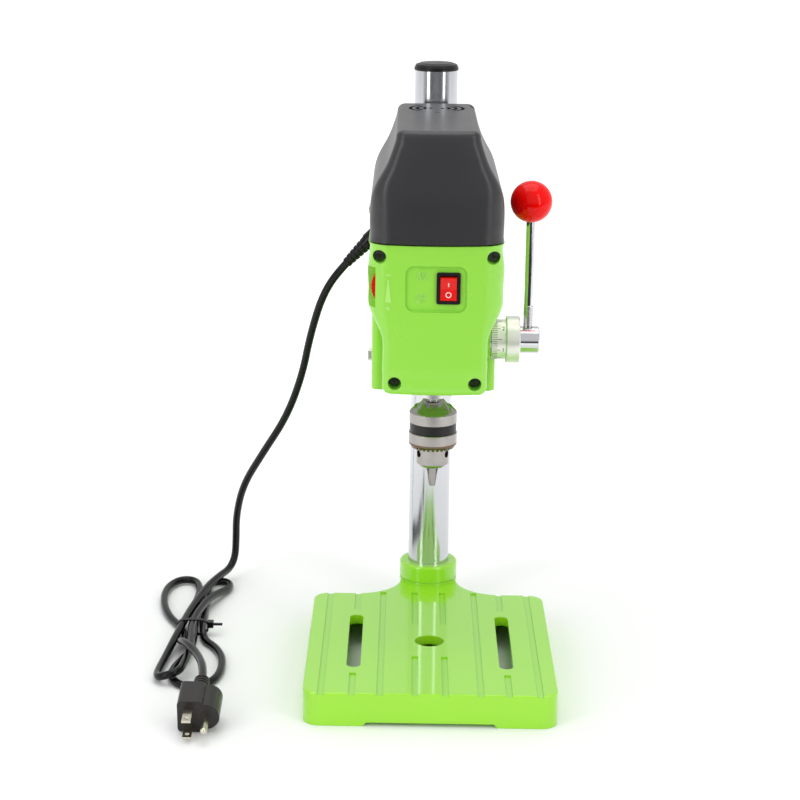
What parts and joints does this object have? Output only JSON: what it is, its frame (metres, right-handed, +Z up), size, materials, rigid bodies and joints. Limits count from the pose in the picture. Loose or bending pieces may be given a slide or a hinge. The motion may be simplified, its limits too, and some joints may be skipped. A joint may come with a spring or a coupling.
{
  "type": "bench drill press",
  "caption": "Small bench drill press: keyed chuck on a sliding quill, belt drive head clamped on a round column, slotted table base, side feed lever and a mains cord.",
  "frame": {"origin": "on the spindle axis, which is also the axis of the round hole in the table, at the plane the base stands on", "axes": "+Z up along the spindle, +X to the operator's right (feed lever side), the operator stands at -Y and the column is at +Y"},
  "size_m": [0.307, 0.3331, 0.434],
  "materials": {
    "green_paint": "glossy light green enamel over cast iron",
    "green_casting": "die casting in light green enamel",
    "green_plastic": "satin light green moulding",
    "black_cover": "satin black moulding with soft edges",
    "black_plastic": "black, slightly glossy",
    "dark_steel": "blackened",
    "zinc_steel": "zinc plated",
    "ground_steel": "ground",
    "chuck_steel": "turned and lightly polished",
    "chrome_tube": "polished tube",
    "chrome_parts": "polished",
    "pulley_aluminium": "turned",
    "satin_aluminium": "satin with black figures",
    "motor_steel": "laminations",
    "brass_parts": "plain",
    "belt_rubber": "dull",
    "red_ball": "polished red ball",
    "red_plastic": "red, slightly glossy",
    "board_laminate": "laminate",
    "cord_rubber": "satin black jacket",
    "plug_vinyl": "moulded",
    "plug_metal": "nickel plated"
  },
  "bodies": {
    "base_unit": {"base": "green_paint", "base_set_screw": "dark_steel"},
    "column_unit": {"column": "chrome_tube", "column_cap": "black_plastic", "cord_tube": "cord_rubber", "cord_tail": "cord_rubber", "cord_hank": "cord_rubber", "cable_tie": "black_plastic", "plug_body": "plug_vinyl", "plug_pins": "plug_metal"},
    "head_unit": {"head_casting": "green_casting", "front_shell": "green_plastic", "top_cover": "black_cover", "shell_screws": "dark_steel", "cover_screws": "zinc_steel", "clamp_bolt": "zinc_steel", "head_lock_bolt": "zinc_steel", "motor_bolt": "zinc_steel", "pulley_bearings": "ground_steel", "motor_frame": "motor_steel", "motor_bearings": "ground_steel", "brush_holders": "brass_parts", "drive_belt": "belt_rubber", "feed_return_spring": "dark_steel", "speed_board": "board_laminate", "rocker_switch": "black_plastic", "cord_grommet": "cord_rubber"},
    "quill_unit": {"quill": "ground_steel", "quill_bearings": "ground_steel"},
    "spindle_unit": {"spindle": "ground_steel", "chuck_body": "chuck_steel", "chuck_band": "black_plastic"},
    "sleeve_unit": {"chuck_sleeve": "chuck_steel"},
    "jaw_1_unit": {"chuck_jaw_1": "chuck_steel"},
    "jaw_2_unit": {"chuck_jaw_2": "chuck_steel"},
    "jaw_3_unit": {"chuck_jaw_3": "chuck_steel"},
    "pulley_unit": {"spindle_pulley": "pulley_aluminium"},
    "rotor_unit": {"rotor": "motor_steel", "motor_pulley": "pulley_aluminium", "motor_fan": "black_plastic"},
    "lever_unit": {"feed_shaft": "ground_steel", "feed_hub": "chrome_parts", "lever_rod": "chrome_parts", "lever_knob": "red_ball"},
    "dial_unit": {"depth_dial": "satin_aluminium", "dial_ring": "satin_aluminium"},
    "wheel_unit": {"speed_wheel": "red_plastic"},
    "rocker_unit": {"rocker": "red_plastic"}
  },
  "joints": [
    {"name": "column_swivel", "type": "hinge", "parent": "base_unit", "child": "column_unit", "pos_m": [0, 0.139, 0.04], "axis": [0, 0, 1], "range_deg": [-180, 0]},
    {"name": "head_height", "type": "slide", "parent": "column_unit", "child": "head_unit", "axis": [0, 0, 1], "range_m": [-0.1, 0.095], "deforming": ["cord_tube"]},
    {"name": "feed_lever", "type": "hinge", "parent": "head_unit", "child": "lever_unit", "pos_m": [0.0616, 0.022, 0.2485], "axis": [1, 0, 0], "range_deg": [0, 190], "stiffness_Nm_per_rad": 0.06, "springref_deg": -143.24},
    {"name": "quill_feed", "type": "slide", "parent": "head_unit", "child": "quill_unit", "axis": [0, 0, -1], "range_m": [0, 0.03]},
    {"name": "spindle_spin", "type": "hinge", "parent": "quill_unit", "child": "spindle_unit", "pos_m": [0, 0, 0.25], "axis": [0, 0, -1], "continuous": true},
    {"name": "pulley_spin", "type": "hinge", "parent": "head_unit", "child": "pulley_unit", "pos_m": [0, 0, 0.348], "axis": [0, 0, -1], "continuous": true},
    {"name": "motor_spin", "type": "hinge", "parent": "head_unit", "child": "rotor_unit", "pos_m": [0, 0.087, 0.3], "axis": [0, 0, -1], "continuous": true},
    {"name": "chuck_sleeve_turn", "type": "hinge", "parent": "spindle_unit", "child": "sleeve_unit", "pos_m": [0, 0, 0.18], "axis": [0, 0, 1], "range_deg": [0, 3461.5]},
    {"name": "jaw_1_slide", "type": "slide", "parent": "spindle_unit", "child": "jaw_1_unit", "axis": [0.2241, 0.1294, 0.9659], "range_m": [0, 0.0126]},
    {"name": "jaw_2_slide", "type": "slide", "parent": "spindle_unit", "child": "jaw_2_unit", "axis": [-0.2241, 0.1294, 0.9659], "range_m": [0, 0.0126]},
    {"name": "jaw_3_slide", "type": "slide", "parent": "spindle_unit", "child": "jaw_3_unit", "axis": [0, -0.2588, 0.9659], "range_m": [0, 0.0126]},
    {"name": "depth_dial_turn", "type": "hinge", "parent": "lever_unit", "child": "dial_unit", "pos_m": [0.0514, 0.022, 0.2485], "axis": [1, 0, 0], "range_deg": [-180, 180]},
    {"name": "speed_wheel_turn", "type": "hinge", "parent": "head_unit", "child": "wheel_unit", "pos_m": [-0.0296, -0.031, 0.298], "axis": [0, 1, 0], "range_deg": [-135, 135]},
    {"name": "rocker_tilt", "type": "hinge", "parent": "head_unit", "child": "rocker_unit", "pos_m": [0.0084, -0.04, 0.2989], "axis": [-1, 0, 0], "range_deg": [0, 16]}
  ],
  "couplings": [
    {"joint": "quill_feed", "follows": "feed_lever", "m_per_rad": 0.009},
    {"joint": "pulley_spin", "follows": "spindle_spin", "ratio": 1},
    {"joint": "motor_spin", "follows": "spindle_spin", "ratio": 3},
    {"joint": "jaw_1_slide", "follows": "chuck_sleeve_turn", "m_per_rad": 0.0002069},
    {"joint": "jaw_2_slide", "follows": "chuck_sleeve_turn", "m_per_rad": 0.0002069},
    {"joint": "jaw_3_slide", "follows": "chuck_sleeve_turn", "m_per_rad": 0.0002069}
  ]
}
